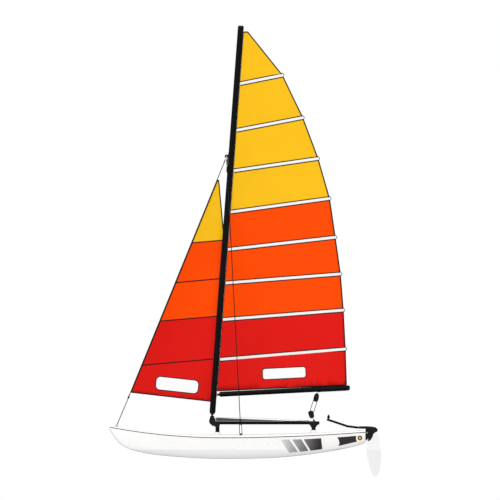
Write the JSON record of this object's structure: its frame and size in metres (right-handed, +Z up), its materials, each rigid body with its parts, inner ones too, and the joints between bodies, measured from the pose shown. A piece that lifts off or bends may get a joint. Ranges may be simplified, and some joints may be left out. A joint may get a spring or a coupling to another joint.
{
  "type": "beach catamaran",
  "caption": "Two-hulled beach sailing boat with pylon-mounted trampoline frame, raked rotating mast, battened mainsail on a boom, jib, and linked kick-up rudders.",
  "frame": {"origin": "on the light waterline, on the centreline, level with the two front pylons", "axes": "+X towards the bows, +Y to port, +Z up"},
  "size_m": [5.356, 2.4126, 8.8794],
  "materials": {
    "hull_gelcoat": "white gelcoat, gloss",
    "deck_gelcoat": "white gelcoat, satin non-slip",
    "blade_gelcoat": "white gelcoat, gloss",
    "black_anodised": "black anodised, satin",
    "casting": "cast, dark powder coat",
    "track": "anodised, satin",
    "stainless": "polished stainless wire and fittings",
    "block_plastic": "moulded, satin",
    "grip": "foam grip on a black tube",
    "trampoline_mesh": "woven mesh, dark grey",
    "sail_yellow": "woven polyester sailcloth",
    "sail_orange": "woven polyester sailcloth",
    "sail_red": "woven polyester sailcloth",
    "sail_window": "clear film",
    "batten_pocket": "white sewn tape",
    "rope": "braided polyester"
  },
  "bodies": {
    "platform": {"hull_port": "hull_gelcoat", "hull_starboard": "hull_gelcoat", "deck_port": "deck_gelcoat", "deck_starboard": "deck_gelcoat", "front_pylon_port": "black_anodised", "front_pylon_starboard": "black_anodised", "rear_pylon_port": "black_anodised", "rear_pylon_starboard": "black_anodised", "front_corner_casting_port": "casting", "front_corner_casting_starboard": "casting", "rear_corner_casting_port": "casting", "rear_corner_casting_starboard": "casting", "side_rail_port": "black_anodised", "side_rail_starboard": "black_anodised", "shroud_port": "stainless", "shroud_starboard": "stainless", "shroud_adjuster_port": "casting", "shroud_adjuster_starboard": "casting", "bow_tang_port": "stainless", "bow_tang_starboard": "stainless", "bridle_wire_port": "stainless", "bridle_wire_starboard": "stainless", "rudder_gudgeons_port": "casting", "rudder_gudgeons_starboard": "casting", "front_crossbar": "black_anodised", "rear_crossbar": "black_anodised", "dolphin_striker": "stainless", "trampoline": "trampoline_mesh", "traveller_track": "track", "hound_shackle": "stainless", "forestay": "stainless", "mast_step": "casting"},
    "traveller_car": {"traveller_car": "block_plastic"},
    "jib": {"jib": "sail_red"},
    "mast": {"mast": "black_anodised", "mast_base": "casting", "masthead": "casting", "mast_tang": "casting", "gooseneck": "stainless"},
    "boom": {"boom": "black_anodised", "boom_front_fitting": "casting", "boom_end_cap": "block_plastic", "mainsail": "sail_orange", "mainsail_battens": "batten_pocket", "mainsheet_upper_block": "block_plastic", "mainsheet_lower_block": "block_plastic"},
    "rudder_port": {"rudder_head_port": "casting", "tiller_arm_port": "black_anodised"},
    "rudder_starboard": {"rudder_head_starboard": "casting", "tiller_arm_starboard": "black_anodised"},
    "blade_port": {"rudder_casting_port": "casting", "rudder_blade_port": "blade_gelcoat"},
    "blade_starboard": {"rudder_casting_starboard": "casting", "rudder_blade_starboard": "blade_gelcoat"},
    "tiller_crossbar": {"tiller_crossbar": "black_anodised"},
    "tiller_extension": {"tiller_extension": "grip"}
  },
  "joints": [
    {"name": "mast_rotation", "type": "hinge", "parent": "platform", "child": "mast", "pos_m": [0.104, 0, 0.686], "axis": [-0.0555, 0, 0.9985], "range_deg": [-30, 30]},
    {"name": "boom_swing", "type": "hinge", "parent": "mast", "child": "boom", "pos_m": [0.00034, 0, 1.08241], "axis": [-0.0735, 0, 0.9973], "range_deg": [-25, 25]},
    {"name": "jib_swing", "type": "hinge", "parent": "platform", "child": "jib", "pos_m": [1.749, 0, 1.036], "axis": [-0.3774, 0, 0.9261], "range_deg": [0, 25]},
    {"name": "traveller_slide", "type": "slide", "parent": "platform", "child": "traveller_car", "axis": [0, -1, 0], "range_m": [-0.85, 0.85]},
    {"name": "rudder_steer_port", "type": "hinge", "parent": "platform", "child": "rudder_port", "pos_m": [-2.94, 1.065, 0.314], "axis": [0, 0, -1], "range_deg": [-40, 40]},
    {"name": "rudder_steer_starboard", "type": "hinge", "parent": "platform", "child": "rudder_starboard", "pos_m": [-2.94, -1.065, 0.314], "axis": [0, 0, -1], "range_deg": [-40, 40]},
    {"name": "tiller_crossbar_pivot", "type": "hinge", "parent": "rudder_port", "child": "tiller_crossbar", "pos_m": [-2.186, 1.065, 0.64], "axis": [0, 0, 1], "range_deg": [-40, 40]},
    {"name": "rudder_kick_up_port", "type": "hinge", "parent": "rudder_port", "child": "blade_port", "pos_m": [-3.105, 1.065, 0.383], "axis": [0, 1, 0], "range_deg": [0, 100]},
    {"name": "rudder_kick_up_starboard", "type": "hinge", "parent": "rudder_starboard", "child": "blade_starboard", "pos_m": [-3.105, -1.065, 0.383], "axis": [0, 1, 0], "range_deg": [0, 100]},
    {"name": "tiller_extension_swing", "type": "hinge", "parent": "tiller_crossbar", "child": "tiller_extension", "pos_m": [-2.186, 0, 0.675], "axis": [0, 0, -1], "range_deg": [0, 170]}
  ],
  "couplings": [
    {"joint": "rudder_steer_starboard", "follows": "rudder_steer_port", "ratio": 1},
    {"joint": "tiller_crossbar_pivot", "follows": "rudder_steer_port", "ratio": 1}
  ]
}
